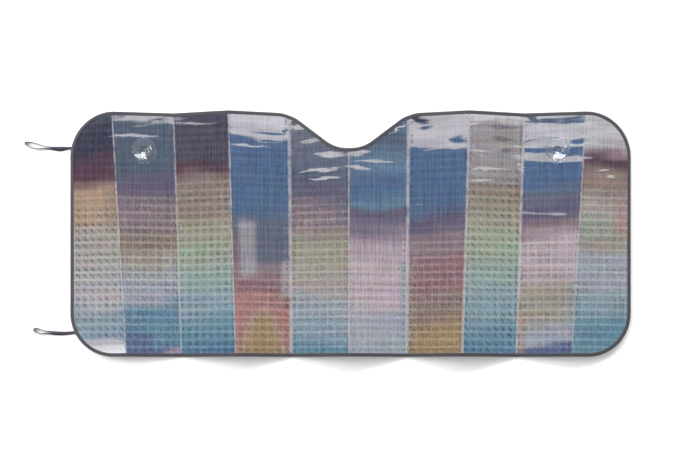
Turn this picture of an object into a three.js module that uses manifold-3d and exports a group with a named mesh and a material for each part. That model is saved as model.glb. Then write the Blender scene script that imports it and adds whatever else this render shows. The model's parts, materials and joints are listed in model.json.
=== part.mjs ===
// A folding windscreen sunshade, lying open on its valley folds with the foil side up.
// X runs along its width, Y towards the edge with the mirror notch, Z up. The origin is under its middle.
import * as THREE from "three";
import { mergeVertices } from "three/addons/utils/BufferGeometryUtils.js";
import Module from "manifold-3d";

// Driving dimensions, in millimetres

// Outline of the finished shade, binding included, as it lies
const SHADE_WIDTH = 1380;
const SHADE_HEIGHT = 600;
const CORNER_RADIUS = 108;

// Notch for the mirror, in the middle of the upper edge
const NOTCH_DEPTH = 92;
const NOTCH_SHOULDER_RADIUS = 88;
const NOTCH_ROOT_RADIUS = 90;
const NOTCH_FLANK_DEGREES = 38.6;

// Pressed folds, counted outwards from the middle one, which is a ridge. The folds fan out a little upwards.
const FOLD_MIDDLE = -4;
const FOLDS_AT_TOP = [147, 294, 432, 580];
const FOLDS_AT_BOTTOM = [142, 276, 412, 545];
const INNER_RIDGE_RISE = 25;
const OUTER_RIDGE_RISE = 15;
const FOLD_WIDTH = 4;
const FOLD_SHOULDER = 3;
const FOLD_THICKNESS = 1.4;

// Foil-faced bubble sheet and the fabric tape folded over its edge
const SHEET_THICKNESS = 3;
const TAPE_THICKNESS = 0.8;
const BINDING_WIDTH = 7.5;
const CLEARANCE = 0.3;

// Suction cups, measured from the sheet's upper face along the cup's axis
const CUP_FROM_SIDE = 183.5;
const CUP_FROM_TOP = 93.5;
const CUP_DIAMETER = 57;
const CUP_HEIGHT = 13;
const CUP_RIM_WIDTH = 1.6;
const CUP_LIP_THICKNESS = 0.7;
const CUP_WALL_AT_MIDDLE = 3;
const CUP_HUB_DIAMETER = 21;
const CUP_HUB_HEIGHT = 1.6;
const NECK_DIAMETER = 7.6;
const HOLE_CLEARANCE = 0.5;
const HEAD_DIAMETER = 12.5;
const HEAD_THICKNESS = 4.2;
const HEAD_ROUNDING = 1.3;

// Flat elastic loops, each sewn into the left edge at this height above or below the middle
const ELASTIC_WIDTH = 6;
const ELASTIC_THICKNESS = 1.2;
const UPPER_LOOP_HEIGHT = 214;
const LOWER_LOOP_HEIGHT = -240;

// Fineness of the facets
const ARC_DIVISIONS = 6;
const SLAB_ROWS = 4;
const CUP_SEGMENTS = 36;
const HOLE_SEGMENTS = 24;
const CUP_CURVE_DIVISIONS = 6;
const ELASTIC_STEPS = 64;
const CUTTING_MARGIN = 10;
const MERGE_DISTANCE = 1e-4;

// Routes of the elastic, each point as x and y from where the loop leaves the binding, the height over
// the floor, and how far the band is turned from lying flat towards standing on its edge, in degrees
const UPPER_LOOP_ROUTE = [
  [8, 0.6, 1.6, 0],
  [-4, 0.3, 1.6, 0],
  [-14, -1.5, 1.5, 10],
  [-26, -4.5, 1.6, 15],
  [-40, -3.4, 2.2, 30],
  [-54, -1.6, 3.1, 60],
  [-67, -1.4, 3.4, 90],
  [-81, -1.8, 3.4, 90],
  [-95, 0.5, 3.4, 90],
  [-106, 4.6, 3.4, 90],
  [-112.6, 8.6, 3.4, 90],
  [-113.6, 12.6, 3.4, 90],
  [-109, 15, 3.4, 90],
  [-98, 14.2, 3.4, 90],
  [-84, 10.5, 3.6, 90],
  [-69, 6, 3.9, 85],
  [-54, 2.8, 4.6, 60],
  [-40, 1.2, 5, 30],
  [-26, 0.6, 5, 10],
  [-14, 0.5, 4.5, 0],
  [-4, 0.3, 4, 0],
  [8, 0.6, 4, 0],
];
const LOWER_LOOP_ROUTE = [
  [12, 2.2, 1.6, 0],
  [-3, -0.4, 1.5, 0],
  [-16, -2.3, 1.5, 0],
  [-30, -3.8, 1.5, 5],
  [-44, -4, 1.9, 20],
  [-58, -3.4, 2.8, 45],
  [-71, -2.4, 3.3, 75],
  [-81, -2.6, 3.4, 90],
  [-91, -1.6, 3.4, 90],
  [-98.4, 1.8, 3.4, 90],
  [-101.4, 6, 3.4, 90],
  [-99, 10, 3.4, 90],
  [-92.4, 10.8, 3.4, 90],
  [-84, 7.4, 3.6, 90],
  [-73, 4, 4.1, 75],
  [-60, 2, 4.8, 45],
  [-46, 0.4, 5, 20],
  [-31, -0.6, 4.6, 5],
  [-17, -0.4, 4.2, 0],
  [-4, 0.6, 4, 0],
  [12, 3, 4, 0],
];

// Values that follow from them
const BINDING_THICKNESS = SHEET_THICKNESS + 2 * (CLEARANCE + TAPE_THICKNESS);
const VALLEY_HEIGHT = BINDING_THICKNESS / 2;
const SHEET_INSET = TAPE_THICKNESS + CLEARANCE;
const HOLE_DIAMETER = NECK_DIAMETER + 2 * HOLE_CLEARANCE;
const HIGHEST = BINDING_THICKNESS + INNER_RIDGE_RISE + OUTER_RIDGE_RISE;

const foil = new THREE.MeshStandardMaterial({ name: "foil", color: 0x9aa5b8, roughness: 0.3, metalness: 0.8 });
const tape = new THREE.MeshStandardMaterial({ name: "tape", color: 0x504e54, roughness: 0.9, metalness: 0 });
const elastic = new THREE.MeshStandardMaterial({ name: "elastic", color: 0x343142, roughness: 0.85, metalness: 0 });
const clearVinyl = new THREE.MeshStandardMaterial({ name: "clear_vinyl", color: 0xd4d9df, roughness: 0.15, metalness: 0 });

const wasm = await Module();
wasm.setup();

// Solids and meshes

function solidOf(geometry) {
  geometry.deleteAttribute("normal");
  geometry.deleteAttribute("uv");
  const merged = mergeVertices(geometry, MERGE_DISTANCE);
  const triVerts = new Uint32Array(merged.index.array);
  const vertProperties = merged.attributes.position.array;
  return new wasm.Manifold(new wasm.Mesh({ numProp: 3, vertProperties, triVerts }));
}

function meshOf(solid, name, material) {
  const { vertProperties, triVerts } = solid.getMesh();
  const geometry = new THREE.BufferGeometry();
  geometry.setAttribute("position", new THREE.BufferAttribute(vertProperties, 3));
  geometry.setIndex(new THREE.BufferAttribute(triVerts, 1));
  const mesh = new THREE.Mesh(geometry.toNonIndexed(), material);
  mesh.geometry.computeVertexNormals();
  mesh.name = name;
  return mesh;
}

// Outline of the shade, moved inwards by inset. Every curve is an arc, so it stays parallel to itself.
function outline(inset) {
  const right = SHADE_WIDTH / 2 - inset;
  const top = SHADE_HEIGHT / 2 - inset;
  const corner = CORNER_RADIUS - inset;
  const flank = THREE.MathUtils.degToRad(NOTCH_FLANK_DEGREES);
  const shoulder = NOTCH_SHOULDER_RADIUS - inset;
  const root = NOTCH_ROOT_RADIUS + inset;
  const turn = 1 - Math.cos(flank);
  const shoulderDrop = NOTCH_SHOULDER_RADIUS * turn;
  const rootRise = NOTCH_ROOT_RADIUS * turn;
  const straight = (NOTCH_DEPTH - shoulderDrop - rootRise) / Math.tan(flank);
  const halfWidth = straight + (NOTCH_SHOULDER_RADIUS + NOTCH_ROOT_RADIUS) * Math.sin(flank);
  const shoulderY = SHADE_HEIGHT / 2 - NOTCH_SHOULDER_RADIUS;
  const rootY = SHADE_HEIGHT / 2 - NOTCH_DEPTH + NOTCH_ROOT_RADIUS;
  const quarter = Math.PI / 2;
  const shape = new THREE.Shape();
  shape.absarc(right - corner, corner - top, corner, -quarter, 0);
  shape.absarc(right - corner, top - corner, corner, 0, quarter);
  shape.absarc(FOLD_MIDDLE + halfWidth, shoulderY, shoulder, quarter, quarter + flank);
  shape.absarc(FOLD_MIDDLE, rootY, root, flank - quarter, -quarter - flank, true);
  shape.absarc(FOLD_MIDDLE - halfWidth, shoulderY, shoulder, quarter - flank, quarter);
  shape.absarc(corner - right, top - corner, corner, quarter, 2 * quarter);
  shape.absarc(corner - right, corner - top, corner, 2 * quarter, 3 * quarter);
  shape.closePath();
  return shape;
}

// What lies inside the outline at that inset, from under the shade to over its ridges
function columnInside(inset) {
  const depth = HIGHEST + 2 * CUTTING_MARGIN;
  const options = { depth, bevelEnabled: false, curveSegments: ARC_DIVISIONS };
  return solidOf(new THREE.ExtrudeGeometry(outline(inset), options).translate(0, 0, -CUTTING_MARGIN));
}

// The folds from left to right: where each crosses the bottom and the top edge, and how high it stands
function folds() {
  const middle = { bottom: 0, top: 0, rise: INNER_RIDGE_RISE };
  const outwards = FOLDS_AT_TOP.map((top, i) => {
    const outermost = i === FOLDS_AT_TOP.length - 1;
    const ridge = outermost ? OUTER_RIDGE_RISE : INNER_RIDGE_RISE;
    return { bottom: FOLDS_AT_BOTTOM[i], top, rise: i % 2 === 0 ? 0 : ridge };
  });
  const left = outwards.map(({ bottom, top, rise }) => ({ bottom: -bottom, top: -top, rise })).reverse();
  return [...left, middle, ...outwards];
}

function foldPlaces(y) {
  const share = y / SHADE_HEIGHT + 0.5;
  return folds().map(({ bottom, top, rise }) => {
    return { x: FOLD_MIDDLE + THREE.MathUtils.lerp(bottom, top, share), rise };
  });
}

// Height of the sheet's middle over the floor, at any place
function heightAt(x, y) {
  const bends = [{ x: -SHADE_WIDTH / 2, rise: 0 }];
  for (const fold of foldPlaces(y)) {
    bends.push({ x: fold.x - FOLD_WIDTH / 2, rise: fold.rise });
    bends.push({ x: fold.x + FOLD_WIDTH / 2, rise: fold.rise });
  }
  bends.push({ x: SHADE_WIDTH / 2, rise: 0 });
  let i = 1;
  while (i < bends.length - 1 && x > bends[i].x) i += 1;
  const [from, to] = [bends[i - 1], bends[i]];
  return VALLEY_HEIGHT + THREE.MathUtils.mapLinear(x, from.x, to.x, from.rise, to.rise);
}

// The places along X where the slab bends or changes thickness, at one height y
function slabColumns(y, panel, pressed) {
  const reach = SHADE_WIDTH / 2 + CUTTING_MARGIN;
  const columns = [-reach, -SHADE_WIDTH / 2].map((x) => ({ x, thickness: panel }));
  for (const fold of foldPlaces(y)) {
    for (const side of [-1, 1]) {
      const edge = { x: fold.x + (side * FOLD_WIDTH) / 2, thickness: pressed };
      const foot = { x: edge.x + side * FOLD_SHOULDER, thickness: panel };
      columns.push(...(side < 0 ? [foot, edge] : [edge, foot]));
    }
  }
  columns.push(...[SHADE_WIDTH / 2, reach].map((x) => ({ x, thickness: panel })));
  return columns;
}

// A folded slab, larger than the outline all round: a grid of a box, each column moved to its bend
function foldedSlab(panel, pressed) {
  const count = slabColumns(0, panel, pressed).length;
  const geometry = new THREE.BoxGeometry(1, 1, 1, count - 1, SLAB_ROWS, 1);
  const place = geometry.attributes.position;
  for (let i = 0; i < place.count; i += 1) {
    const y = place.getY(i) * (SHADE_HEIGHT + 2 * CUTTING_MARGIN);
    const column = slabColumns(y, panel, pressed)[Math.round((place.getX(i) + 0.5) * (count - 1))];
    const z = heightAt(column.x, y) + place.getZ(i) * column.thickness;
    place.setXYZ(i, column.x, y, z);
  }
  return solidOf(geometry);
}

// Where a suction cup sits: on the sheet's upper face, square to its panel
function cupSeat(side) {
  const x = side * (SHADE_WIDTH / 2 - CUP_FROM_SIDE);
  const y = SHADE_HEIGHT / 2 - CUP_FROM_TOP;
  const slopeX = (heightAt(x + 1, y) - heightAt(x - 1, y)) / 2;
  const slopeY = (heightAt(x, y + 1) - heightAt(x, y - 1)) / 2;
  const normal = new THREE.Vector3(-slopeX, -slopeY, 1).normalize();
  const middle = new THREE.Vector3(x, y, heightAt(x, y));
  const half = (SHEET_THICKNESS / 2) * normal.z;
  const turn = new THREE.Quaternion().setFromUnitVectors(new THREE.Vector3(0, 0, 1), normal);
  return { position: middle.addScaledVector(normal, half), quaternion: turn };
}

function punch(seat) {
  const length = SHEET_THICKNESS + 2 * CUTTING_MARGIN;
  const radius = HOLE_DIAMETER / 2;
  const geometry = new THREE.CylinderGeometry(radius, radius, length, HOLE_SEGMENTS).rotateX(Math.PI / 2);
  geometry.applyQuaternion(seat.quaternion).translate(...seat.position.toArray());
  return solidOf(geometry);
}

// The parts of the shade

function shadeSheet(seats) {
  let sheet = foldedSlab(SHEET_THICKNESS, FOLD_THICKNESS).intersect(columnInside(SHEET_INSET));
  for (const seat of seats) {
    sheet = sheet.subtract(punch(seat));
  }
  return meshOf(sheet, "shade_sheet", foil);
}

// The tape wraps over the edge of the sheet: an outer skin, less the room for the sheet and the open middle
function edgeBinding() {
  const room = SHEET_THICKNESS + 2 * CLEARANCE;
  const skin = foldedSlab(BINDING_THICKNESS, BINDING_THICKNESS).intersect(columnInside(0));
  const pocket = foldedSlab(room, room).intersect(columnInside(TAPE_THICKNESS));
  return meshOf(skin.subtract(pocket).subtract(columnInside(BINDING_WIDTH)), "edge_binding", tape);
}

// Section of a suction cup, from the foot of its mushroom head up to the hollow of the cup
function cupProfile() {
  const headTop = -SHEET_THICKNESS - CLEARANCE;
  const headFoot = headTop - HEAD_THICKNESS;
  const head = HEAD_DIAMETER / 2;
  const neck = NECK_DIAMETER / 2;
  const hub = CUP_HUB_DIAMETER / 2;
  const rim = CUP_DIAMETER / 2;
  const hubTop = CLEARANCE + CUP_HUB_HEIGHT;
  const hollow = CLEARANCE + CUP_WALL_AT_MIDDLE;
  const lip = CUP_HEIGHT - CUP_LIP_THICKNESS;
  const path = new THREE.Path();
  path.moveTo(0, headFoot);
  path.lineTo(head - HEAD_ROUNDING, headFoot);
  path.quadraticCurveTo(head, headFoot, head, headFoot + HEAD_ROUNDING);
  path.lineTo(neck, headTop);
  path.lineTo(neck, CLEARANCE);
  path.lineTo(hub, CLEARANCE);
  path.lineTo(hub, hubTop);
  path.quadraticCurveTo((hub + rim) / 2, hubTop + (lip - hubTop) / 3, rim, lip);
  path.lineTo(rim, CUP_HEIGHT);
  path.lineTo(rim - CUP_RIM_WIDTH, CUP_HEIGHT);
  path.quadraticCurveTo(rim / 2, hollow + CUP_LIP_THICKNESS, 0, hollow);
  return path.getPoints(CUP_CURVE_DIVISIONS);
}

function suctionCup(name, seat) {
  const geometry = new THREE.LatheGeometry(cupProfile(), CUP_SEGMENTS).rotateX(Math.PI / 2);
  const cup = meshOf(solidOf(geometry), name, clearVinyl);
  cup.position.copy(seat.position);
  cup.quaternion.copy(seat.quaternion);
  return cup;
}

// Centreline of a flat band. The turn of each route point carries the band from flat to on edge.
class BandRoute extends THREE.CatmullRomCurve3 {
  constructor(route, start) {
    super(route.map(([x, y, z]) => new THREE.Vector3(start.x + x, start.y + y, z)));
    this.turns = route.map(([, , , turn]) => THREE.MathUtils.degToRad(turn));
  }

  turnAt(share) {
    const place = this.getUtoTmapping(share) * (this.turns.length - 1);
    const before = Math.min(Math.floor(place), this.turns.length - 2);
    return THREE.MathUtils.lerp(this.turns[before], this.turns[before + 1], place - before);
  }

  computeFrenetFrames(steps) {
    const tangents = [];
    const normals = [];
    const binormals = [];
    for (let i = 0; i <= steps; i += 1) {
      const tangent = this.getTangentAt(i / steps);
      const level = new THREE.Vector3(0, 0, 1).cross(tangent).normalize();
      const across = level.applyAxisAngle(tangent, this.turnAt(i / steps));
      tangents.push(tangent);
      normals.push(across);
      binormals.push(tangent.clone().cross(across));
    }
    return { tangents, normals, binormals };
  }
}

// Flat section of the elastic with eight sides
function bandSection() {
  const half = ELASTIC_WIDTH / 2;
  const thin = ELASTIC_THICKNESS / 2;
  const flat = half - thin;
  const corner = thin / 2;
  const places = [[half, -corner], [half, corner], [flat, thin], [-flat, thin], [-half, corner], [-half, -corner]];
  places.push([-flat, -thin], [flat, -thin]);
  return new THREE.Shape(places.map(([x, y]) => new THREE.Vector2(x, y)));
}

// How far left the outline reaches at height y, in a corner or beside it
function leftEdgeAt(y) {
  const intoCorner = Math.max(0, Math.abs(y) - (SHADE_HEIGHT / 2 - CORNER_RADIUS));
  return CORNER_RADIUS - SHADE_WIDTH / 2 - Math.sqrt(CORNER_RADIUS ** 2 - intoCorner ** 2);
}

// The band runs into the edge of the binding, and is trimmed a clearance short of it
function elasticLoop(name, route, height) {
  const start = { x: leftEdgeAt(height), y: height };
  const extrudePath = new BandRoute(route, start);
  const options = { steps: ELASTIC_STEPS, bevelEnabled: false, extrudePath };
  const band = solidOf(new THREE.ExtrudeGeometry(bandSection(), options));
  return meshOf(band.subtract(columnInside(-CLEARANCE)), name, elastic);
}

const seats = [cupSeat(-1), cupSeat(1)];
const sunshade = new THREE.Group();
sunshade.name = "windscreen_sunshade";
sunshade.add(shadeSheet(seats));
sunshade.add(edgeBinding());
sunshade.add(suctionCup("left_suction_cup", seats[0]));
sunshade.add(suctionCup("right_suction_cup", seats[1]));
sunshade.add(elasticLoop("upper_elastic_loop", UPPER_LOOP_ROUTE, UPPER_LOOP_HEIGHT));
sunshade.add(elasticLoop("lower_elastic_loop", LOWER_LOOP_ROUTE, LOWER_LOOP_HEIGHT));

export default sunshade;
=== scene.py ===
"""Looks of a folding windscreen sunshade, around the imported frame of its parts. All sizes are in metres.

The shade lies open on its valley folds, foil side up: X runs along its width and Y towards the mirror notch.
"""

import json
import math

import bmesh
import bpy
from bpy.props import FloatProperty, FloatVectorProperty, PointerProperty
from mathutils import Matrix, Vector, noise


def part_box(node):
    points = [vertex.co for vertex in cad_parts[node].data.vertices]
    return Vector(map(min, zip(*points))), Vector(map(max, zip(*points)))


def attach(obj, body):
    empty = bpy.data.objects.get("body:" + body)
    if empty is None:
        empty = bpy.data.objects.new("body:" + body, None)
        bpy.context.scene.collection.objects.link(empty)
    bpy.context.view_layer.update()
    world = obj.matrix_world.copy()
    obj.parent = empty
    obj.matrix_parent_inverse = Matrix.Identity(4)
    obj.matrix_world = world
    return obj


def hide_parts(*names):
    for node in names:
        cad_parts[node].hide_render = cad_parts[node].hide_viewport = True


bl_info = {
    "name": "Folding windscreen sunshade",
    "version": (1, 0, 0),
    "blender": (4, 5, 0),
    "location": "View3D > Sidebar > Sunshade",
    "description": "Builds the pieces and finishes of a folding windscreen sunshade",
    "category": "Object",
}

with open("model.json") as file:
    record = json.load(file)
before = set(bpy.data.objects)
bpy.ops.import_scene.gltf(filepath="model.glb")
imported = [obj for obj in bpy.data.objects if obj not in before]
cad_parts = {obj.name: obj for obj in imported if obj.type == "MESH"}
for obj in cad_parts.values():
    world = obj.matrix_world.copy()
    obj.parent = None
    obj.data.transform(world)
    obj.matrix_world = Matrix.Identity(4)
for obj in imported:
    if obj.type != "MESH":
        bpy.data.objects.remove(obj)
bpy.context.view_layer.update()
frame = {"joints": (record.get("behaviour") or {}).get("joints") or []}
SHADE_LOW, SHADE_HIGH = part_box("edge_binding")
CUP_SWIVELS = {joint["child"]: joint for joint in frame["joints"]}

# Colours of the foil, as sRGB values from 0 to 255
FOIL_COLOURS = {
    # glare and flare are the whites of the painted reflection
    "glare": (188, 186, 193),
    "flare": (244, 243, 248),
    "silver": (176, 174, 178),
    "pewter": (146, 141, 144),
    "warm_silver": (166, 159, 154),
    "ink": (61, 63, 82),
    "slate": (80, 78, 94),
    "deep_teal": (86, 98, 116),
    "blue": (82, 106, 140),
    "harbour": (98, 124, 150),
    "steel": (100, 106, 124),
    "violet": (100, 94, 118),
    "maroon": (88, 66, 82),
    "mauve": (140, 123, 132),
    "rose": (146, 112, 119),
    "salmon": (170, 127, 124),
    "lilac": (184, 168, 177),
    "peach": (172, 145, 130),
    "tan": (142, 127, 120),
    "khaki": (158, 154, 139),
    "olive": (158, 136, 104),
    "sage": (157, 166, 150),
    "sea": (148, 168, 163),
    "mist": (160, 165, 176),
    "sky": (138, 159, 172),
    "lagoon": (102, 140, 161),
    "cobalt": (82, 118, 153),
    "iris": (94, 104, 144),
}

# The foil of each panel from left to right, as heights from the upper edge (0) to the lower one (1).
# slant lifts the bands towards the panel's right, and arch lifts the lower ones at its middle. quilted says
# from where to where the bubbles start to show. emboss is how they look: lean, width and strength of the dark
# spot of painted shade on each, and the share of finer spots. bands are the colours. glare is how much
# painted reflection of plain white lies on the panel.
PANELS = [
    dict(slant=0.02, arch=0.0, quilted=(0.3, 0.46), emboss=(0.5, 0.2, 0.75, 0.5),
         bands=[(0, "deep_teal"), (0.1, "ink"), (0.16, "ink"), (0.21, "maroon"), (0.265, "maroon"),
                (0.32, "peach"), (0.42, "peach"), (0.5, "warm_silver"), (0.76, "silver"), (0.85, "sky"),
                (0.95, "sky")],
         glare=[(0.89, 0), (0.93, 0.3), (0.955, 0.75), (1, 0.9)]),
    dict(slant=0.02, arch=0.0, quilted=(0.28, 0.42), emboss=(0.3, 0.2, 0.5, 0.9),
         bands=[(0, "deep_teal"), (0.22, "deep_teal"), (0.3, "violet"), (0.42, "mauve"), (0.54, "tan"),
                (0.61, "warm_silver"), (0.68, "mist"), (0.74, "mist"), (0.82, "lagoon"), (0.92, "lagoon"),
                (1, "iris")],
         glare=[(0, 0.28), (0.04, 0.28), (0.08, 0.1), (0.12, 0.1), (0.16, 0)]),
    dict(slant=0.01, arch=0.0, quilted=(0.2, 0.34), emboss=(0.0, 0.22, 0.6, 0.6),
         bands=[(0, "slate"), (0.19, "slate"), (0.23, "maroon"), (0.29, "tan"), (0.38, "tan"),
                (0.48, "khaki"), (0.58, "sage"), (0.68, "sea"), (0.79, "sky"), (0.9, "lagoon"),
                (1, "cobalt")],
         glare=[(0, 0.24), (0.05, 0.2), (0.1, 0)]),
    dict(slant=-0.01, arch=0.36, quilted=(0.55, 0.76), emboss=(0.2, 0.2, 0.45, 0.7),
         bands=[(0, "blue"), (0.4, "blue"), (0.47, "steel"), (0.58, "steel"), (0.65, "mauve"),
                (0.72, "rose"), (0.78, "salmon"), (0.84, "salmon"), (0.88, "peach"), (0.93, "olive")],
         glare=[(0.03, 0.6), (0.08, 0.43), (0.105, 0.3), (0.13, 0.15), (0.16, 0), (0.4, 0.05),
                (0.46, 0.16), (0.56, 0.1), (0.62, 0)]),
    dict(slant=-0.03, arch=0.0, quilted=(0.26, 0.45), emboss=(0.1, 0.2, 0.4, 0.8),
         bands=[(0, "steel"), (0.2, "steel"), (0.26, "deep_teal"), (0.32, "violet"), (0.42, "mauve"),
                (0.58, "khaki"), (0.68, "warm_silver"), (0.78, "mist"), (0.9, "sky"), (0.99, "lagoon")],
         glare=[(0.035, 0.9), (0.06, 0.5), (0.09, 0.16), (0.25, 0.1), (0.29, 0)]),
    dict(slant=0.01, arch=0.0, quilted=(0.5, 0.7), emboss=(0.0, 0.16, 0.3, 0.1),
         bands=[(0, "blue"), (0.12, "deep_teal"), (0.22, "harbour"), (0.3, "blue"), (0.37, "harbour"),
                (0.4, "violet"), (0.62, "lilac"), (0.76, "lilac"), (0.86, "mist"), (0.98, "mist")],
         glare=[(0.1, 0.14), (0.16, 0.14), (0.26, 0), (0.44, 0.05), (0.48, 0.16), (0.54, 0)]),
    dict(slant=0.03, arch=0.0, quilted=(0.45, 0.65), emboss=(0.3, 0.2, 0.4, 0.8),
         bands=[(0, "ink"), (0.1, "blue"), (0.38, "blue"), (0.46, "violet"), (0.54, "mauve"),
                (0.62, "rose"), (0.7, "rose"), (0.79, "tan"), (0.92, "olive")],
         glare=[(0, 0.42), (0.03, 0.56), (0.115, 0.54), (0.155, 0.32), (0.18, 0), (0.34, 0), (0.38, 0.12),
                (0.42, 0)]),
    dict(slant=0.0, arch=0.0, quilted=(0.18, 0.32), emboss=(0.5, 0.18, 0.72, 0.4),
         bands=[(0, "silver"), (0.04, "silver"), (0.07, "pewter"), (0.26, "pewter"), (0.34, "tan"),
                (0.43, "khaki"), (0.54, "sage"), (0.66, "sea"), (0.79, "sky"), (0.92, "lagoon"),
                (1.03, "cobalt")],
         glare=[(0, 0.46), (0.04, 0.3), (0.12, 0.2), (0.16, 0.3), (0.2, 0.22), (0.28, 0.14), (0.34, 0)]),
    dict(slant=0.03, arch=0.0, quilted=(0.42, 0.6), emboss=(0.0, 0.3, 0.45, 0.5),
         bands=[(0, "deep_teal"), (0.12, "blue"), (0.28, "blue"), (0.35, "steel"), (0.42, "violet"),
                (0.47, "mauve"), (0.54, "lilac"), (0.66, "lilac"), (0.76, "khaki"), (0.86, "warm_silver"),
                (0.92, "mist"), (0.98, "iris")],
         glare=[(0, 0.36), (0.05, 0.42), (0.08, 0.54), (0.13, 0.5), (0.15, 0.28), (0.18, 0.42),
                (0.2, 0.3), (0.21, 0), (0.36, 0.1), (0.42, 0.26), (0.47, 0.14), (0.5, 0)]),
    dict(slant=0.0, arch=0.0, quilted=(0.22, 0.38), emboss=(0.1, 0.16, 0.35, 0.8),
         bands=[(0, "silver"), (0.14, "silver"), (0.18, "mauve"), (0.205, "maroon"), (0.29, "tan"),
                (0.33, "tan"), (0.37, "warm_silver"), (0.43, "warm_silver"), (0.49, "khaki"),
                (0.55, "khaki"), (0.6, "mist"), (0.7, "mist"), (0.8, "sky"), (0.9, "lagoon")],
         glare=[(0, 0.4), (0.08, 0.4), (0.13, 0.3), (0.16, 0), (0.24, 0.1), (0.36, 0.08), (0.4, 0)]),
]

# Single painted white glints on the foil: place, half length and half height in metres, and slope
GLINTS = [
    (-0.51, 0.290, 0.078, 0.016, 0.12), (-0.533, 0.242, 0.058, 0.005, 0.02),
    (-0.248, 0.216, 0.052, 0.003, -0.03), (-0.119, 0.262, 0.036, 0.004, 0.1),
    (-0.08, 0.230, 0.05, 0.0054, 0.04), (-0.045, 0.193, 0.042, 0.0095, -0.06),
    (-0.075, 0.157, 0.06, 0.0036, 0.04), (-0.062, 0.137, 0.05, 0.0032, 0.03),
    (0.016, 0.197, 0.036, 0.010, 0.1), (0.12, 0.262, 0.03, 0.003, 0.5), (0.06, 0.179, 0.064, 0.0038, 0.02),
    (0.018, 0.161, 0.034, 0.006, -0.08), (0.345, 0.158, 0.06, 0.004, 0.03),
    (0.32, 0.131, 0.036, 0.003, 0.05), (0.418, 0.166, 0.014, 0.005, -0.8),
    (0.515, 0.186, 0.085, 0.006, 0.02), (0.62, 0.158, 0.02, 0.0028, 0.15),
    (0.64, 0.142, 0.018, 0.0024, -0.2),
]
# Gaps in the painted white reflection, in the same way
GLARE_GAPS = [
    (-0.272, 0.232, 0.026, 0.009, 0.1), (-0.203, 0.229, 0.038, 0.005, -0.05),
    (-0.161, 0.255, 0.012, 0.008, 0.3), (-0.134, 0.277, 0.02, 0.012, 0.2),
    (0.085, 0.198, 0.054, 0.012, 0.03), (0.172, 0.282, 0.03, 0.010, -0.3),
    (0.264, 0.228, 0.032, 0.012, -0.12), (0.18, 0.262, 0.022, 0.004, 0.1),
    (0.45, 0.285, 0.022, 0.015, -0.4), (0.458, 0.203, 0.024, 0.0085, 0.05),
    (0.566, 0.228, 0.028, 0.0075, 0.1), (0.566, 0.202, 0.028, 0.0085, -0.03),
]
# Soft patches of another colour: the panel's number from 0, where the patch starts and ends across the panel
# and down it, the colour and its strength
PATCHES = [
    (3, 0.12, 0.4, 0.44, 0.68, "silver", 0.6), (3, 0.84, 1.0, 0.6, 0.76, "silver", 0.6),
    (3, 0.0, 0.1, 0.5, 0.7, "rose", 0.7), (1, 0.0, 0.5, 0.9, 1.0, "iris", 0.7),
    (1, 0.7, 1.0, 0.975, 1.0, "lilac", 0.8), (0, 0.78, 1.0, 0.3, 0.5, "tan", 0.5),
    (5, 0.86, 1.0, 0.6, 0.98, "sky", 0.6), (6, 0.0, 0.12, 0.6, 0.95, "khaki", 0.5),
    (8, 0.0, 0.16, 0.84, 1.0, "peach", 0.6), (8, 0.88, 1.0, 0.7, 0.9, "sky", 0.5),
    (4, 0.8, 1.0, 0.25, 0.45, "steel", 0.5), (9, 0.7, 1.0, 0.36, 0.5, "salmon", 0.5),
    (9, 0.0, 0.6, 0.44, 0.52, "sea", 0.35),
]
# Grey lens marks across the silver part of the eighth panel, dark shapes of painted reflection, in the same
# way
DARK_MARKS = [
    (0.376, 0.262, 0.044, 0.005, 0.03), (0.373, 0.233, 0.036, 0.009, -0.04),
    (0.384, 0.206, 0.028, 0.006, 0.05),
]

# Painted shade: the dark line beside each pressed fold, and the dark ring at the foot of a cup's hub
PAINTED_SHADE_DARK = (0.05, 0.05, 0.07)

# The four folds on each side of the middle one: distances from it at the upper and the lower edge
FOLDS_AT_TOP = [0.147, 0.294, 0.432, 0.580]
FOLDS_AT_BOTTOM = [0.142, 0.276, 0.412, 0.545]
# Width in metres of the pale line along each fold, pressed foil with painted sheen, from left to right
FOLD_SHEEN_WIDTHS = [0.0034, 0.0042, 0.0036, 0.0088, 0.0042, 0.0088, 0.0062, 0.0066, 0.0044]

# The sheet: width of a bubble, rows of faces, and columns of them on each panel and on the two outer ones
BUBBLE_PITCH = 0.0183
SHEET_ROWS = 120
PANEL_COLUMNS = 23
END_COLUMNS = 30

# The tape: length of a face, its room over the sheet, how its inner edge is rounded, and the seam's groove
TAPE_STEP = 0.006
TAPE_TURN_STEPS = 6
TAPE_GAP = 0.00005
TAPE_ROUNDING = 0.0003
TAPE_HEM = 0.0004
SEAM_GROOVE = 0.0022
SEAM_GROOVE_DEPTH = 0.00018

# The stitches: pitch, distance from the tape's inner edge, half sizes across, along and up, how deep they sit
# above and below, and how far the slope under them is taken
STITCH_STEP = 0.0038
SEAM_MARGIN = 0.002
STITCH_HALF_SIZE = (0.00028, 0.0014, 0.00024)
STITCH_SINK = 0.0001
STITCH_SINK_BELOW = 0.00025
SLOPE_REACH = 0.001

# The cups: faces round the axis, small roundings, the ring at the hub's foot that carries painted shade, and
# the way the wall curves
SPIN_STEPS = 96
FINE_ROUNDING = 0.0003
SHARP_ROUNDING = 0.0002
HEAD_ROUNDING = 0.0013
SHADE_RING_INNER = 0.0034
SHADE_RING_OUTER = 0.0026
HUB_FOOT = 0.0004
HOLLOW_PULL = (0.46, 0.0034)
NEAR = 1e-4

# The elastic
ELASTIC_WIDTH = 0.006
ELASTIC_THICKNESS = 0.0012
UPPER_LOOP_HEIGHT = 0.214
LOWER_LOOP_HEIGHT = -0.240

# The colour sockets of a mix node
COLOUR_A, COLOUR_B, COLOUR_RESULT = 6, 7, 2

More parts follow.
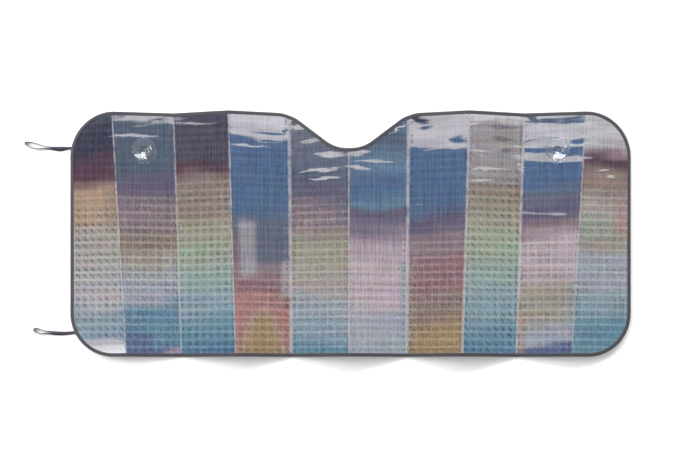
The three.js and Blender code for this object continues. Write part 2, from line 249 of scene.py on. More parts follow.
# The camera over the floor, the width of the floor that it sees, and the point of the picture that lies over
# the middle of the shade, in pixels
CAMERA_HEIGHT = 2.34
CAMERA_SEAT = Vector((0.0, -0.392))
SEEN_WIDTH = 1.724
PICTURE_WIDTH = 700
PICTURE_MIDDLE = Vector((350, 233.5))
SHADE_MIDDLE = Vector((350.5, 235.1))

# Routes of the elastic loops from the binding and back, in metres: x and y from where the loop leaves the
# binding, the height over the floor, and the turn of the band from flat (0) to on edge (90 degrees)
UPPER_LOOP_ROUTE = [
    (0.0012, 0.0004, 0.0016, 0), (-0.004, 0.0003, 0.0016, 0), (-0.014, -0.0015, 0.0015, 10),
    (-0.026, -0.0045, 0.0016, 15), (-0.040, -0.0034, 0.0022, 30), (-0.054, -0.0016, 0.0031, 60),
    (-0.067, -0.0014, 0.0034, 90), (-0.081, -0.0018, 0.0034, 90), (-0.095, 0.0005, 0.0034, 90),
    (-0.106, 0.0046, 0.0034, 90), (-0.1126, 0.0086, 0.0034, 90), (-0.1136, 0.0126, 0.0034, 90),
    (-0.109, 0.015, 0.0034, 90), (-0.098, 0.0142, 0.0034, 90), (-0.084, 0.0105, 0.0036, 90),
    (-0.069, 0.006, 0.0039, 85), (-0.054, 0.0028, 0.0046, 60), (-0.040, 0.0012, 0.005, 30),
    (-0.026, 0.0006, 0.005, 10), (-0.014, 0.0005, 0.0045, 0), (-0.004, 0.0003, 0.004, 0),
    (0.0012, 0.0004, 0.0036, 0),
]
LOWER_LOOP_ROUTE = [
    (0.0012, 0.0002, 0.0016, 0), (-0.003, -0.0004, 0.0015, 0), (-0.016, -0.0023, 0.0015, 0),
    (-0.030, -0.0038, 0.0015, 5), (-0.044, -0.004, 0.0019, 20), (-0.058, -0.0034, 0.0028, 45),
    (-0.071, -0.0024, 0.0033, 75), (-0.081, -0.0026, 0.0034, 90), (-0.091, -0.0016, 0.0034, 90),
    (-0.0984, 0.0018, 0.0034, 90), (-0.1014, 0.006, 0.0034, 90), (-0.099, 0.010, 0.0034, 90),
    (-0.0924, 0.0108, 0.0034, 90), (-0.084, 0.0074, 0.0036, 90), (-0.073, 0.004, 0.0041, 75),
    (-0.060, 0.002, 0.0048, 45), (-0.046, 0.0004, 0.005, 20), (-0.031, -0.0006, 0.0046, 5),
    (-0.017, -0.0004, 0.0042, 0), (-0.004, 0.0006, 0.004, 0), (0.0012, 0.001, 0.0036, 0),
]


def length(name, description, default):
    return FloatProperty(name=name, description=description, default=default, unit="LENGTH")


def paint(name, description, default):
    return FloatVectorProperty(name=name, description=description, default=default, subtype="COLOR", size=3,
                               min=0, max=1)


class SunshadeSizes(bpy.types.PropertyGroup):
    """Sizes of the shade that the frame doesn't give"""

    corner_radius: length("Corner radius", "Radius of the shade's corners", 0.108)
    notch_depth: length("Notch depth", "Depth of the mirror notch", 0.092)
    notch_shoulder: length("Notch shoulder", "Radius where the notch starts", 0.088)
    notch_root: length("Notch root", "Radius at the foot of the notch", 0.090)
    notch_flank: FloatProperty(name="Notch flank", description="Slope of the notch's sides",
                               default=math.radians(38.6), subtype="ANGLE")
    fold_middle: length("Middle fold", "Place of the middle fold along X", -0.004)
    inner_rise: length("Inner ridges", "Height of the inner ridges over the valleys", 0.025)
    outer_rise: length("Outer ridges", "Height of the outermost ridges", 0.015)
    fold_width: length("Fold width", "Width of the pressed line at a fold", 0.004)
    fold_shoulder: length("Fold shoulder", "Where the sheet thins beside a fold", 0.003)
    fold_thickness: length("Fold thickness", "Thickness of the sheet at a fold", 0.0014)
    sheet_thickness: length("Sheet thickness", "Thickness of the bubble sheet", 0.003)
    tape_thickness: length("Tape thickness", "Thickness of the binding tape", 0.0008)
    binding_width: length("Binding width", "How far the binding reaches in", 0.0086)
    clearance: length("Clearance", "Room between the sheet and the tape", 0.0003)
    buckle: length("Buckle", "How far the foil waves out of each panel's plane", 0.0005)


class SunshadeCupSizes(bpy.types.PropertyGroup):
    """Sizes of a suction cup, along its axis from the sheet's upper face"""

    diameter: length("Diameter", "Diameter of the cup", 0.057)
    height: length("Height", "Height of the rim", 0.013)
    rim_width: length("Rim width", "Width of the flat lip", 0.0016)
    lip: length("Lip", "Thickness of the lip", 0.0007)
    wall: length("Wall", "Thickness at the middle", 0.003)
    hub: length("Hub", "Diameter of the hub", 0.021)
    hub_height: length("Hub height", "Height of the hub", 0.0016)
    neck: length("Neck", "Diameter of the neck", 0.0076)
    hole: length("Hole", "Diameter of the punched hole", 0.0086)
    head: length("Head", "Diameter of the mushroom head", 0.0125)
    head_height: length("Head height", "Height of the head", 0.0042)


class SunshadeColours(bpy.types.PropertyGroup):
    """Colours of the pieces, as the camera sees them in plain light"""

    # Pressed foil along the folds, brightened as painted sheen
    crushed_foil: paint("Crushed foil", "Foil along the folds", (0.53, 0.50, 0.52))
    back_film: paint("Back film", "Film on the back of the sheet", (0.58, 0.59, 0.62))
    tape: paint("Tape", "Fabric of the binding", (0.047, 0.044, 0.053))
    thread: paint("Thread", "Thread of the binding's seam", (0.055, 0.052, 0.060))
    elastic: paint("Elastic", "Yarn of the elastic", (0.040, 0.036, 0.058))
    vinyl: paint("Vinyl", "Clear vinyl of the cups", (0.93, 0.95, 0.98))
    floor: paint("Floor", "Floor under the shade", (0.88, 0.88, 0.88))


def sizes():
    return bpy.context.scene.sunshade_sizes


def colours():
    return bpy.context.scene.sunshade_colours


def linear(colour):
    """An sRGB colour from 0 to 255 as scene values."""
    return tuple(((c / 255 + 0.055) / 1.055) ** 2.4 if c > 10 else c / 255 / 12.92 for c in colour)


def mix(a, b, share):
    return a + (b - a) * share


def smooth(low, high, value):
    share = min(1.0, max(0.0, (value - low) / (high - low)))
    return share * share * (3 - 2 * share)


# Form of the folded sheet


def half_size():
    return (SHADE_HIGH.x - SHADE_LOW.x) / 2, (SHADE_HIGH.y - SHADE_LOW.y) / 2


def valley_height():
    s = sizes()
    return s.sheet_thickness / 2 + s.clearance + s.tape_thickness


def folds_at(y):
    """Place along X and rise over the valleys of each fold at height y, from left to right."""
    s = sizes()
    share = y / (2 * half_size()[1]) + 0.5
    outwards = []
    for i, (top, bottom) in enumerate(zip(FOLDS_AT_TOP, FOLDS_AT_BOTTOM)):
        ridge = s.outer_rise if i == len(FOLDS_AT_TOP) - 1 else s.inner_rise
        outwards.append((mix(bottom, top, share), 0.0 if i % 2 == 0 else ridge))
    left = [(s.fold_middle - x, rise) for x, rise in reversed(outwards)]
    right = [(s.fold_middle + x, rise) for x, rise in outwards]
    return left + [(s.fold_middle, s.inner_rise)] + right


def panel_edges(y):
    """The folds at height y with the shade's two short edges around them."""
    half = half_size()[0]
    return [(-half, 0.0)] + folds_at(y) + [(half, 0.0)]


def flat_height(x, y):
    """Height of the sheet's middle on its flat panels and pressed folds."""
    s = sizes()
    edges = panel_edges(y)
    bends = [edges[0]]
    for place, rise in edges[1:-1]:
        bends += [(place - s.fold_width / 2, rise), (place + s.fold_width / 2, rise)]
    bends.append(edges[-1])
    i = 1
    while i < len(bends) - 1 and x > bends[i][0]:
        i += 1
    (x0, z0), (x1, z1) = bends[i - 1], bends[i]
    return valley_height() + mix(z0, z1, (x - x0) / (x1 - x0))


def panel_at(x, y):
    """The number of the panel at a place, how far across it that is, and the distance to the nearest fold."""
    edges = panel_edges(y)
    panel = 0
    while panel < len(edges) - 2 and x > edges[panel + 1][0]:
        panel += 1
    left, right = edges[panel][0], edges[panel + 1][0]
    nearest = min(abs(x - place) for place, _ in edges[1:-1])
    return panel, (x - left) / (right - left), nearest


def buckle(x, y):
    """How far the film waves out of its panel: long soft waves, tighter ones across the upper part."""
    panel, across, nearest = panel_at(x, y)
    top = half_size()[1]
    held = smooth(0.0, 0.03, nearest) * smooth(0.0, 0.03, top - abs(y))
    slow = noise.noise(Vector((x * 9, y * 5, panel * 3.7)))
    upper = smooth(-0.1, 0.28, y)
    tight = noise.noise(Vector((x * 10, y * 36, panel * 7.1)))
    return sizes().buckle * held * (1.4 * slow + 0.7 * upper * tight)


def sheet_height(x, y):
    return flat_height(x, y) + buckle(x, y)


def arc_reach(radius, offset):
    return math.sqrt(max(radius * radius - offset * offset, 0.0))


def notch():
    """Half the width of the notch's mouth, and how high the centres of its shoulders and of its root lie."""
    s = sizes()
    top = half_size()[1]
    sine, cosine = math.sin(s.notch_flank), math.cos(s.notch_flank)
    drop = s.notch_depth - (s.notch_shoulder + s.notch_root) * (1 - cosine)
    mouth = drop * cosine / sine + (s.notch_shoulder + s.notch_root) * sine
    return mouth, top - s.notch_shoulder, top - s.notch_depth + s.notch_root


def upper_edge(x, inset):
    """Height of the outline's upper side at x, moved inwards by inset."""
    s = sizes()
    half, top = half_size()
    into_corner = abs(x) - (half - s.corner_radius)
    if into_corner > 0:
        return top - s.corner_radius + arc_reach(s.corner_radius - inset, into_corner)
    sine, cosine = math.sin(s.notch_flank), math.cos(s.notch_flank)
    mouth, shoulder_y, root_y = notch()
    shoulder, root = s.notch_shoulder - inset, s.notch_root + inset
    u = abs(x - s.fold_middle)
    if u >= mouth:
        return top - inset
    if u >= mouth - shoulder * sine:
        return shoulder_y + arc_reach(shoulder, mouth - u)
    if u >= root * sine:
        return root_y - root * cosine + (u - root * sine) * sine / cosine
    return root_y - arc_reach(root, u)


def lower_edge(x, inset):
    s = sizes()
    half, top = half_size()
    into_corner = abs(x) - (half - s.corner_radius)
    if into_corner > 0:
        return -(top - s.corner_radius + arc_reach(s.corner_radius - inset, into_corner))
    return inset - top


def outline(inset, step):
    """Points round the shade, moved inwards by inset, about step apart, anticlockwise from the lower left."""
    s = sizes()
    half, top = half_size()
    corner, flank, quarter = s.corner_radius, s.notch_flank, math.pi / 2
    mouth, shoulder_y, root_y = notch()
    arcs = [
        ((half - corner, corner - top), corner - inset, -quarter, 0),
        ((half - corner, top - corner), corner - inset, 0, quarter),
        ((s.fold_middle + mouth, shoulder_y), s.notch_shoulder - inset, quarter, quarter + flank),
        ((s.fold_middle, root_y), s.notch_root + inset, flank - quarter, -quarter - flank),
        ((s.fold_middle - mouth, shoulder_y), s.notch_shoulder - inset, quarter - flank, quarter),
        ((corner - half, top - corner), corner - inset, quarter, 2 * quarter),
        ((corner - half, corner - top), corner - inset, 2 * quarter, 3 * quarter),
    ]
    points = []
    for (cx, cy), radius, start, end in arcs:
        count = max(4, math.ceil(abs(end - start) * radius / step))
        for i in range(count + 1):
            angle = mix(start, end, i / count)
            points.append((Vector((cx, cy)) + radius * Vector((math.cos(angle), math.sin(angle))), angle,
                           -1 if end < start else 1))
    filled = []
    for (a, angle, way), (b, _, _) in zip(points, points[1:] + points[:1]):
        outward = Vector((math.cos(angle), math.sin(angle))) * way
        filled.append((a, outward))
        straight = (b - a).length
        if straight > 1.5 * step:
            count = round(straight / step)
            filled += [(a.lerp(b, i / count), outward) for i in range(1, count)]
    return filled


# Shader helpers


class Value:
    """What a shader node puts out, so that a sum of nodes is written as a sum."""

    def __init__(self, tree, socket):
        self.tree = tree
        self.socket = socket

    def __add__(self, other):
        return calc("ADD", self, other)

    def __sub__(self, other):
        return calc("SUBTRACT", self, other)

    def __rsub__(self, other):
        return calc("SUBTRACT", other, self)

    def __mul__(self, other):
        return calc("MULTIPLY", self, other)

    def __truediv__(self, other):
        return calc("DIVIDE", self, other)


def feed(socket, value):
    """Links a value to a socket, or sets the socket to a plain number or colour."""
    if isinstance(value, Value):
        value.tree.links.new(value.socket, socket)
    elif socket.type == "RGBA":
        socket.default_value = (*value, 1.0)
    else:
        socket.default_value = value


def add_node(tree, kind, inputs=(), output=0, **settings):
    """A new node with its settings and inputs, as the value that it puts out."""
    node = tree.nodes.new("ShaderNode" + kind)
    for name, setting in settings.items():
        setattr(node, name, setting)
    for name, value in dict(inputs).items():
        feed(node.inputs[name], value)
    return Value(tree, node.outputs[output])


def tree_of(*values):
    return next(value.tree for value in values if isinstance(value, Value))


def calc(operation, *values, clamp=False):
    return add_node(tree_of(*values), "Math", enumerate(values), operation=operation, use_clamp=clamp)


def scatter(vector, factors, start):
    """A vector or colour times three factors, on top of three numbers or a place."""
    return add_node(vector.tree, "VectorMath", {0: vector, 1: factors, 2: start}, operation="MULTIPLY_ADD")


def mix_colour(share, a, b, way="MIX"):
    node_inputs = {0: share, COLOUR_A: a, COLOUR_B: b}
    return add_node(tree_of(share, a, b), "Mix", node_inputs, COLOUR_RESULT, data_type="RGBA", blend_type=way)


def tinted(colour, by):
    """A colour times another colour or a number."""
    return mix_colour(1.0, colour, by, "MULTIPLY")


def grain(place, across, along, detail=2.0, output="Fac", distortion=0.0):
    """Noise with its own number of grains to the metre across and along the shade."""
    finer = add_node(place.tree, "Mapping", {"Vector": place, "Scale": (across, along, across)})
    return add_node(place.tree, "TexNoise", {"Vector": finer, "Scale": 1.0, "Detail": detail,
                                             "Distortion": distortion}, output)


def ramp(value, low, high):
    """0 below low, 1 above high, and smooth between them."""
    return add_node(value.tree, "MapRange", {"Value": value, "From Min": low, "From Max": high},
                    interpolation_type="SMOOTHSTEP")


def parts(vector, kind="SeparateXYZ"):
    """The three numbers of a vector or a colour."""
    node = vector.tree.nodes.new("ShaderNode" + kind)
    feed(node.inputs[0], vector)
    return [Value(vector.tree, socket) for socket in node.outputs[:3]]


def place_of(tree, name="Object"):
    return add_node(tree, "TexCoord", output=name)


def attribute(tree, name, output="Fac"):
    return add_node(tree, "Attribute", output=output, attribute_name=name)


def bump(height, strength, distance):
    return add_node(height.tree, "Bump", {"Height": height, "Strength": strength, "Distance": distance})


def new_material(name):
    """A material with one plain shader: the material, its node tree and the shader."""
    material = bpy.data.materials.new(name)
    material.use_nodes = True
    tree = material.node_tree
    tree.nodes.clear()
    shader = tree.nodes.new("ShaderNodeBsdfPrincipled")
    output = tree.nodes.new("ShaderNodeOutputMaterial")
    tree.links.new(shader.outputs["BSDF"], output.inputs["Surface"])
    return material, tree, shader


def dress(shader, inputs):
    for name, value in inputs.items():
        feed(shader.inputs[name], value)


def new_group(name, numbers):
    """A shader node group that takes a place and some numbers: its tree and its inputs."""
    tree = bpy.data.node_groups.new(name, "ShaderNodeTree")
    tree.interface.new_socket(name="Place", in_out="INPUT", socket_type="NodeSocketVector")
    for label, default in numbers.items():
        socket = tree.interface.new_socket(name=label, in_out="INPUT", socket_type="NodeSocketFloat")
        socket.default_value = default
    entry = tree.nodes.new("NodeGroupInput")
    return tree, {socket.name: Value(tree, socket) for socket in entry.outputs}


def put_out(tree, **values):
    """Ends a node group with its named outputs."""
    for name in values:
        tree.interface.new_socket(name=name, in_out="OUTPUT", socket_type="NodeSocketFloat")
    out = tree.nodes.new("NodeGroupOutput")
    for name, value in values.items():
        feed(out.inputs[name], value)
    return tree


def use_group(tree, build, **values):
    """What a node group puts out. The group has the name of the function that builds it, the first time."""
    node = tree.nodes.new("ShaderNodeGroup")
    node.node_tree = bpy.data.node_groups.get(build.__name__) or build()
    dress(node, values)
    return {socket.name: Value(tree, socket) for socket in node.outputs}


def quilted_bubbles():
    """Square bubbles under a film, as masks for painted shade and highlight: the dark spot on each, the soft
    dark row through them, the pillows between the rows, upright lines, seams, the height of the film, and a
    number for each bubble."""
    tree, entry = new_group("quilted_bubbles", {"Pitch": BUBBLE_PITCH, "Lean": 0.3, "Wide": 0.2})
    x, y = (axis / entry["Pitch"] for axis in parts(entry["Place"])[:2])
    off_x, off_y = (calc("FRACT", axis) - 0.5 for axis in (x, y))
    wide, high = (calc("ABSOLUTE", off) for off in (off_x, off_y))
    odd_row = calc("GREATER_THAN", calc("FRACT", y * 0.5 + 0.25), 0.5)
    beside = (off_y * entry["Lean"] + off_x) / entry["Wide"]
    over = off_y / 0.34
    spot = 1.0 - ramp(beside * beside + over * over, 0.15, 1.9)
    row = 1.0 - ramp(high, 0.08, 0.45)
    upright = ramp(wide, 0.34, 0.5)
    dent = calc("COSINE", off_x * math.pi) * calc("COSINE", off_y * math.pi)
    corner = add_node(tree, "CombineXYZ", {0: calc("FLOOR", x), 1: calc("FLOOR", y)})
    return put_out(
        tree,
        Spot=spot * (odd_row * 0.4 + 0.6),
        Row=row * (odd_row * 0.45 + 0.55),
        Pillow=ramp(high, 0.1, 0.5) * (ramp(wide, 0.05, 0.4) * 0.5 + 0.5),
        Upright=upright,
        Seam=calc("MAXIMUM", upright, ramp(high, 0.36, 0.5)),
        Height=1.0 - dent * dent,
        Cell=add_node(tree, "TexWhiteNoise", {"Vector": corner}, noise_dimensions="2D"),
    )


def lens_mark():
    """A lens-shaped mark on the foil, 1 inside it and 0 outside."""
    tree, entry = new_group("lens_mark", dict.fromkeys(("X", "Y", "Length", "Height", "Slope"), 0.0))
    x, y, _ = parts(entry["Place"])
    beside = x - entry["X"]
    over = y - entry["Y"] - beside * entry["Slope"]
    share = calc("POWER", calc("ABSOLUTE", beside / entry["Length"]), 1.6)
    share = share + calc("ABSOLUTE", over / entry["Height"])
    return put_out(tree, Mark=1.0 - ramp(share, 0.45, 1.15))


def lens_marks(place, marks):
    """The strongest of several lens-shaped marks at each place."""
    strongest = 0.0
    for x, y, length, height, slope in marks:
        mark = use_group(place.tree, lens_mark, Place=place, X=x, Y=y, Length=length, Height=height,
                         Slope=slope)["Mark"]
        strongest = calc("MAXIMUM", strongest, mark)
    return strongest


def plain_weave():
    """Plain weave of flat yarns: how high the thread on top stands."""
    tree, entry = new_group("plain_weave", {"Pitch": 0.0008})
    x, y = (calc("SINE", axis / entry["Pitch"] * math.pi) for axis in parts(entry["Place"])[:2])
    return put_out(tree, Height=x * y * 0.5 + 0.5)


# Finishes


def foil_bands(place, tint, shown, streaky):
    """The colours of the bands, which drift a little and sparkle where the bubbles show."""
    drift = grain(place, 8, 44, 3.0, "Color")
    facets = add_node(place.tree, "TexVoronoi", {"Vector": place, "Scale": 270.0, "Randomness": 0.5}, "Color")
    colour = tinted(tint, scatter(drift, (0.32,) * 3, (0.84,) * 3))
    sparkling = tinted(colour, scatter(facets, (0.14,) * 3, (0.93,) * 3))
    return tinted(mix_colour(shown * 0.7 + 0.3, colour, sparkling), streaky * 0.5 + 0.75)


def foil_glare(place, streaky):
    """Painted reflection: where plain white lies on the foil with torn edges, that white, and the lens marks
    in it.
    """
    tree = place.tree
    torn = scatter(grain(place, 22, 110, 3.0, "Color"), (1, 1, 1), (-0.5,) * 3)
    torn = scatter(torn, (0.04, 0.018, 0.0), place)
    amount = attribute(tree, "glare")
    glare = ramp(amount + grain(place, 7, 42, 3.0, distortion=0.6) - 0.5, 0.29, 0.41)
    glare = glare * (1.0 - lens_marks(torn, GLARE_GAPS))
    glare = calc("MAXIMUM", glare, lens_marks(torn, GLINTS))
    painted_reflection = mix_colour(ramp(amount, 0.65, 0.85), linear(FOIL_COLOURS["glare"]), linear(FOIL_COLOURS["flare"]))
    painted_reflection = tinted(painted_reflection, grain(place, 9, 36) * 0.7 + 0.45 + streaky * 0.4)
    marked = lens_marks(torn, DARK_MARKS)
    return glare, mix_colour(marked * 0.75, painted_reflection, linear(FOIL_COLOURS["steel"])), marked


def crushed_line(place):
    """The pale line along each fold, pressed foil with painted sheen, how wide it is, and how far a place is
    from the fold.
    """
    away = attribute(place.tree, "fold_distance") + (grain(place, 130, 60, 3.0) * 0.004 - 0.002)
    width = attribute(place.tree, "fold_sheen_width")
    pressed_and_sheen = 1.0 - ramp(away, width * 0.2, width * 0.75)
    return pressed_and_sheen * (ramp(grain(place, 40, 60, 3.0), 0.3, 0.6) * 0.55 + 0.33), width, away


def foil_material():
    """Iridescent metallised film: bands of colour, painted glare near the upper edge, and bubbles under it
    with painted shade and highlight.
    """
    material, tree, shader = new_material("iridescent_foil")
    place = place_of(tree)
    tint = attribute(tree, "foil_tint", "Color")
    shown = attribute(tree, "quilting")
    plain = 1.0 - shown
    patchy = grain(place, 14, 18, 3.0)
    streaky = grain(place, 5, 130, 4.0)
    fine = grain(place, 330, 250)
    lean, wide, strength = parts(attribute(tree, "emboss", "Color"), "SeparateColor")
    finer = attribute(tree, "emboss", "Alpha")
    wavy = scatter(grain(place, 90, 90, 2.0, "Color"), (0.004, 0.003, 0.0), place)
    quilt = use_group(tree, quilted_bubbles, Place=wavy, Lean=lean, Wide=wide)
    small = use_group(tree, quilted_bubbles, Place=wavy, Pitch=BUBBLE_PITCH / 2, Lean=0.3, Wide=0.24)

    # Painted reflection: the glare, its white and the lens marks in it go into the base colour
    glare, painted_reflection, marked = foil_glare(place, streaky)
    colour = mix_colour(marked * 0.6, foil_bands(place, tint, shown, streaky), linear(FOIL_COLOURS["slate"]))
    colour = mix_colour(glare * (patchy * 0.4 + 0.72), colour, painted_reflection)

    lively = ramp(patchy, 0.3, 0.7) * 0.3 + 0.58
    depth = (shown * 0.75 + 0.25) * lively * (glare * -0.75 + 1.0)
    # Painted shade in each bubble's crease and along its rows and seams; the fine lines paint light and shade
    spot_shade = quilt["Spot"] * (quilt["Cell"] * 0.28 + 0.5) * strength
    spot_shade = spot_shade + small["Spot"] * (small["Cell"] * 0.42 + 0.26) * finer + quilt["Row"] * 0.17
    lines = (grain(place, 240, 9) - 0.45) * (plain * 0.5 + 0.5)
    lines = lines + small["Upright"] * (plain * 0.1 + 0.04) + quilt["Upright"] * (plain * 0.06 + 0.06)
    marks = spot_shade * depth + lines * (glare * -0.6 + 1.0) * lively
    # Painted highlight on the pillows and in fine streaks
    painted_highlight = ramp(grain(place, 420, 70, 1.0), 0.5, 0.66) * 0.55 + quilt["Pillow"] * (quilt["Cell"] * 0.5 + 0.15)
    colour = mix_colour(painted_highlight * depth * 0.22, colour, linear(FOIL_COLOURS["flare"]))
    colour = tinted(colour, (1.0 - marks) * ((fine - 0.5) * (glare * -0.35 + 0.6) + 1.0))

    # Painted sheen: a pale line along each fold, where the foil is also pressed and rougher
    pressed_and_sheen, width, away = crushed_line(place)
    colour = mix_colour(pressed_and_sheen, colour, mix_colour(0.35, tuple(colours().crushed_foil), tint))
    # Painted shade: a dashed dark line beside each fold
    edge = ramp(away, width * 0.4, width) * (1.0 - ramp(away, width, width * 1.5))
    shade_dashes = ramp(grain(place, 30, 150, 1.0), 0.5, 0.62)
    colour = mix_colour(edge * shade_dashes * 0.55, colour, PAINTED_SHADE_DARK)
    relief = (quilt["Height"] + fine * 0.2) * (shown * 0.8 + 0.2)
    dress(shader, {
        "Base Color": colour,
        "Metallic": 0.88,
        "Roughness": patchy * 0.12 + 0.12 + pressed_and_sheen * 0.1 - glare * 0.06,
        "Normal": bump(relief, 0.5, 0.0005),
    })
    return material


def back_material():
    """Plain silver film on the back, with the bubbles showing and painted shade along the seams between them.
    """
    material, tree, shader = new_material("silver_back_film")
    place = place_of(tree)
    quilt = use_group(tree, quilted_bubbles, Place=place)
    cloudy = grain(place, 14, 14, 3.0)
    colour = tinted(tuple(colours().back_film), cloudy * 0.3 + 0.82)
    dress(shader, {
        # Painted shade: the seams between the bubbles are darker
        "Base Color": mix_colour(quilt["Seam"] * 0.4, colour, (0.3, 0.31, 0.33)),
        "Metallic": 0.8,
        "Roughness": cloudy * 0.2 + 0.24,
        "Normal": bump(quilt["Height"], 0.6, 0.0006),
    })
    return material


def woven_material(name, colour, pitch, sheen):
    """Woven fabric that follows the piece's own UV map, in metres, with painted shade on the yarns that lie
    low.
    """
    material, tree, shader = new_material(name)
    height = use_group(tree, plain_weave, Place=place_of(tree, "UV"), Pitch=pitch)["Height"]
    faded = grain(place_of(tree), 18, 18, 4.0)
    dress(shader, {
        # Painted shade: yarns lower in the weave are darker
        "Base Color": tinted(colour, (height * 0.5 + 0.62) * (faded * 0.6 + 0.75)),
        "Roughness": height * -0.12 + 0.86,
        "Sheen Weight": sheen,
        "Sheen Roughness": 0.45,
        "Normal": bump(height, 0.6, 0.0002),
    })
    return material


def thread_material():
    material, tree, shader = new_material("seam_thread")
    twist = grain(place_of(tree), 900, 900, 1.0)
    dress(shader, {
        "Base Color": tinted(tuple(colours().thread), twist * 0.9 + 0.6),
        "Roughness": 0.62,
        "Sheen Weight": 0.2,
        "Normal": bump(twist, 0.4, 0.0001),
    })
    return material


def vinyl_material():
    """Clear soft vinyl, a little wavy from moulding, with painted shade as a dark ring at the foot of the
    hub.
    """
    material, tree, shader = new_material("clear_vinyl")
    place = place_of(tree)
    dress(shader, {
        "Base Color": mix_colour(attribute(tree, "hub_foot_shade"), tuple(colours().vinyl), PAINTED_SHADE_DARK),
        "Transmission Weight": 1.0,
        "IOR": 1.5,
        "Roughness": grain(place, 240, 240, 3.0) * 0.05 + 0.02,
        "Normal": bump(grain(place, 60, 60), 0.15, 0.0006),
    })
    return material


# Mesh helpers


def finish_piece(bm, name, materials, smooth_faces=True):
    mesh = bpy.data.meshes.new(name)
    for face in bm.faces:
        face.smooth = smooth_faces
    bm.to_mesh(mesh)
    bm.free()
    for material in materials:
        mesh.materials.append(material)
    piece = bpy.data.objects.new(name, mesh)
    bpy.context.scene.collection.objects.link(piece)
    return piece


def grid_index(value, count):
    """Which row or column of a grid from -1 to 1 a coordinate is on."""
    return round((value + 1) / 2 * count)


def sheet_columns():
    """Where the sheet's columns cross a panel: panel number plus the share of its width."""
    s = sizes()
    width = FOLDS_AT_BOTTOM[0]
    press, foot = s.fold_width / 2 / width, (s.fold_width / 2 + s.fold_shoulder) / width
    inner = [mix(foot, 1 - foot, i / PANEL_COLUMNS) for i in range(1, PANEL_COLUMNS)]
    inner = [0, press, foot] + inner + [1 - foot, 1 - press]
    rounded = [1 - math.cos(math.pi / 2 * i / END_COLUMNS) for i in range(END_COLUMNS)]
    rounded = [share for share in rounded if share < 1 - 2 * foot] + [1 - foot, 1 - press]
    last = len(FOLDS_AT_TOP) * 2 + 1
    columns = rounded[:]
    for panel in range(1, last):
        columns += [panel + share for share in inner]
    return columns + [last + 1 - share for share in reversed(rounded)] + [last + 1]


def column_place(column, y):
    edges = panel_edges(y)
    panel = min(int(column), len(edges) - 2)
    return mix(edges[panel][0], edges[panel + 1][0], column - panel)


def column_ends(column, inset):
    """Where a column meets the lower and the upper side of the outline."""
    half = half_size()[0] - inset
    ends = []
    for edge, start in ((lower_edge, -0.25), (upper_edge, 0.25)):
        y = start
        for _ in range(8):
            x = max(-half, min(half, column_place(column, y)))
            y = edge(x, inset)
        ends.append(y)
    return ends


def along_keys(keys, share):
    """The two keys round a height, and how far it is from the one to the other."""
    if share <= keys[0][0]:
        return keys[0][1], keys[0][1], 0.0
    for (start, first), (end, second) in zip(keys, keys[1:]):
        if share <= end:
            return first, second, smooth(start, end, share)
    return keys[-1][1], keys[-1][1], 0.0


def foil_look(x, y):
    """Colour of the foil at a place, how much painted reflection of plain white it has, and how far the
    bubbles show.
    """
    number, across, _ = panel_at(x, y)
    panel = PANELS[number]
    top = half_size()[1]
    share = (top - y) / (2 * top)
    waver = 0.02 * noise.noise(Vector((x * 7, y * 4, number * 5.3)))
    waver += 0.034 * noise.noise(Vector((x * 9, y * 50, number * 2.9)))
    lifted = panel["arch"] * smooth(0.7, 1.0, share) * (0.5 - 2 * abs(across - 0.5))
    bent = share + waver + panel["slant"] * (across - 0.5) + lifted
    first, second, part = along_keys(panel["bands"], bent)
    tint = [mix(a, b, part) for a, b in zip(linear(FOIL_COLOURS[first]), linear(FOIL_COLOURS[second]))]
    for place, left, right, high, low, name, strength in PATCHES:
        if place == number:
            inside = smooth(left - 0.05, left + 0.05, across) * smooth(-right - 0.05, 0.05 - right, -across)
            inside *= smooth(high - 0.02, high + 0.02, share + waver)
            inside *= smooth(-low - 0.02, 0.02 - low, -share - waver)
            tint = [mix(a, b, inside * strength) for a, b in zip(tint, linear(FOIL_COLOURS[name]))]
    first, second, part = along_keys(panel["glare"], share + 0.5 * waver)
    start, end = panel["quilted"]
    return tint, mix(first, second, part), smooth(start, end, share)


def punch_hole(bm, place, radius):
    """Opens the sheet round a place, as a round hole with sixteen sides."""
    middle = min(bm.verts, key=lambda v: (v.co - place).length_squared)
    ring = [edge for face in middle.link_faces for edge in face.edges if middle not in edge.verts]
    bmesh.ops.delete(bm, geom=[middle], context="VERTS")
    bmesh.ops.subdivide_edges(bm, edges=ring, cuts=1)
    rim = {vert for edge in bm.edges if edge.is_boundary for vert in edge.verts}
    for vert in rim:
        if (vert.co - place).length > 5 * radius:
            continue
        out = (vert.co - place) * Vector((1, 1, 0))
        flat = place + out.normalized() * radius
        vert.co = Vector((flat.x, flat.y, sheet_height(flat.x, flat.y)))


